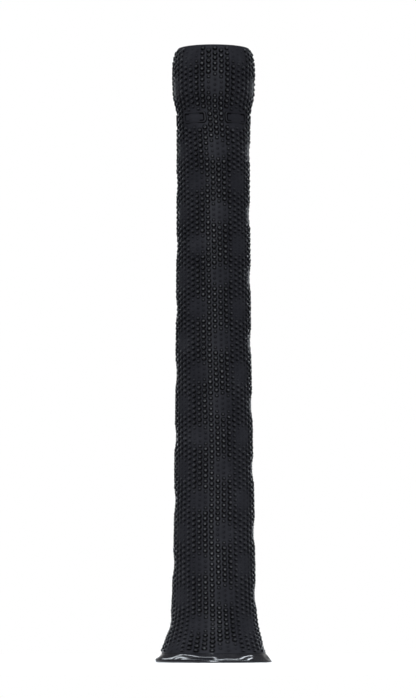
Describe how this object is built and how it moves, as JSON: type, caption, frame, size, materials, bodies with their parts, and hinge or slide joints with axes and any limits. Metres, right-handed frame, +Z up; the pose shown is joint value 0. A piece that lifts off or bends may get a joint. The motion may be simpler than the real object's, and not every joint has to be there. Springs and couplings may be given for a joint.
{
  "type": "bat handle grip",
  "caption": "Slip-on pimpled rubber grip for a bat or racket handle, with a thick end cuff and a flared smooth lip, on a loose card tube.",
  "frame": {"origin": "centre of the base plane that the lip and the card tube stand on", "axes": "+Z up along the grip's axis to the cuffed end, -Y towards the viewer of the front"},
  "size_m": [0.0548, 0.0548, 0.29],
  "materials": {
    "skin_rubber": "matt moulded, satin sheen",
    "smooth_rubber": "smooth, glossy",
    "core_card": "spiral wound, matt"
  },
  "bodies": {
    "grip": {"outer_skin": "skin_rubber", "inner_sleeve": "smooth_rubber"},
    "core": {"core_tube": "core_card"}
  },
  "joints": [
    {"name": "core_slide", "type": "slide", "parent": "grip", "child": "core", "axis": [0, 0, 1], "range_m": [0, 0.3]}
  ]
}
